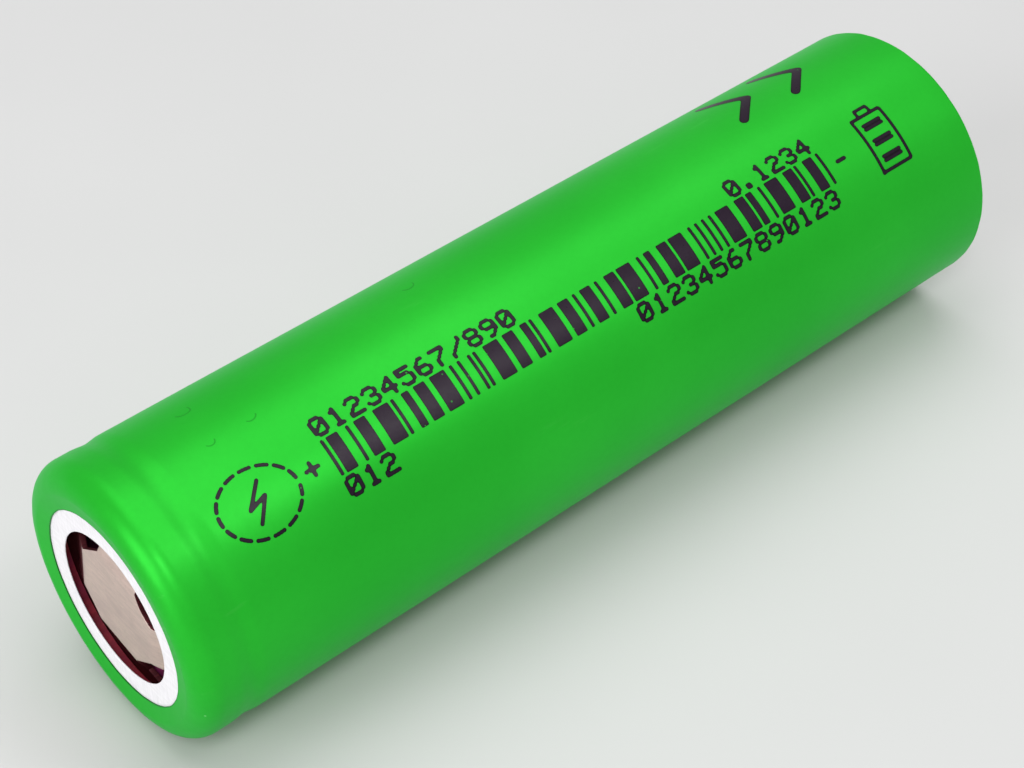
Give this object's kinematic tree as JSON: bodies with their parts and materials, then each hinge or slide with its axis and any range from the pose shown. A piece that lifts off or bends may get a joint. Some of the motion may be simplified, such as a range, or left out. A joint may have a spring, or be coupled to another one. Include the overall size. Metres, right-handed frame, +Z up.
{
  "type": "cylindrical lithium-ion cell",
  "caption": "Cylindrical rechargeable lithium-ion cell in a green shrink sleeve, with a white washer round its recessed, vented positive cap and a bare, flat negative end.",
  "frame": {"origin": "under the middle of the cell as it lies on its side, on the surface that it lies on", "axes": "+X along the cell's own axis, out of the positive terminal; +Z up; +Y completes the right-handed set"},
  "size_m": [0.065, 0.0184, 0.0183],
  "materials": {
    "green_sleeve": "glossy heat-shrink film",
    "white_fibre": "matt fibre board",
    "nickel_steel": "nickel plate",
    "nickel_cap": "satin nickel plate",
    "natural_polypropylene": "translucent white",
    "dark_sealant": "gasket under a dark red sealant",
    "aluminium": "rolled",
    "insulator_board": "matt",
    "separator_film": "soft film",
    "anode_black": "graphite coating",
    "cathode_black": "oxide coating",
    "amber_tape": "polyimide film"
  },
  "bodies": {
    "root": {"shrink_sleeve": "green_sleeve", "positive_washer": "white_fibre", "steel_can": "nickel_steel", "sealing_gasket": "dark_sealant", "positive_cap": "nickel_cap", "vent_disc": "aluminium", "cid_spacer": "natural_polypropylene", "cid_disc": "aluminium", "top_insulator": "insulator_board", "bottom_insulator": "insulator_board", "separator_inner": "separator_film", "anode_sheet": "anode_black", "separator_outer": "separator_film", "cathode_sheet": "cathode_black", "winding_tape": "amber_tape", "cathode_tab": "aluminium", "cathode_tab_tape": "amber_tape", "anode_tab_inner": "nickel_steel", "anode_tab_tape": "amber_tape", "anode_tab_outer": "nickel_steel"}
  },
  "joints": []
}
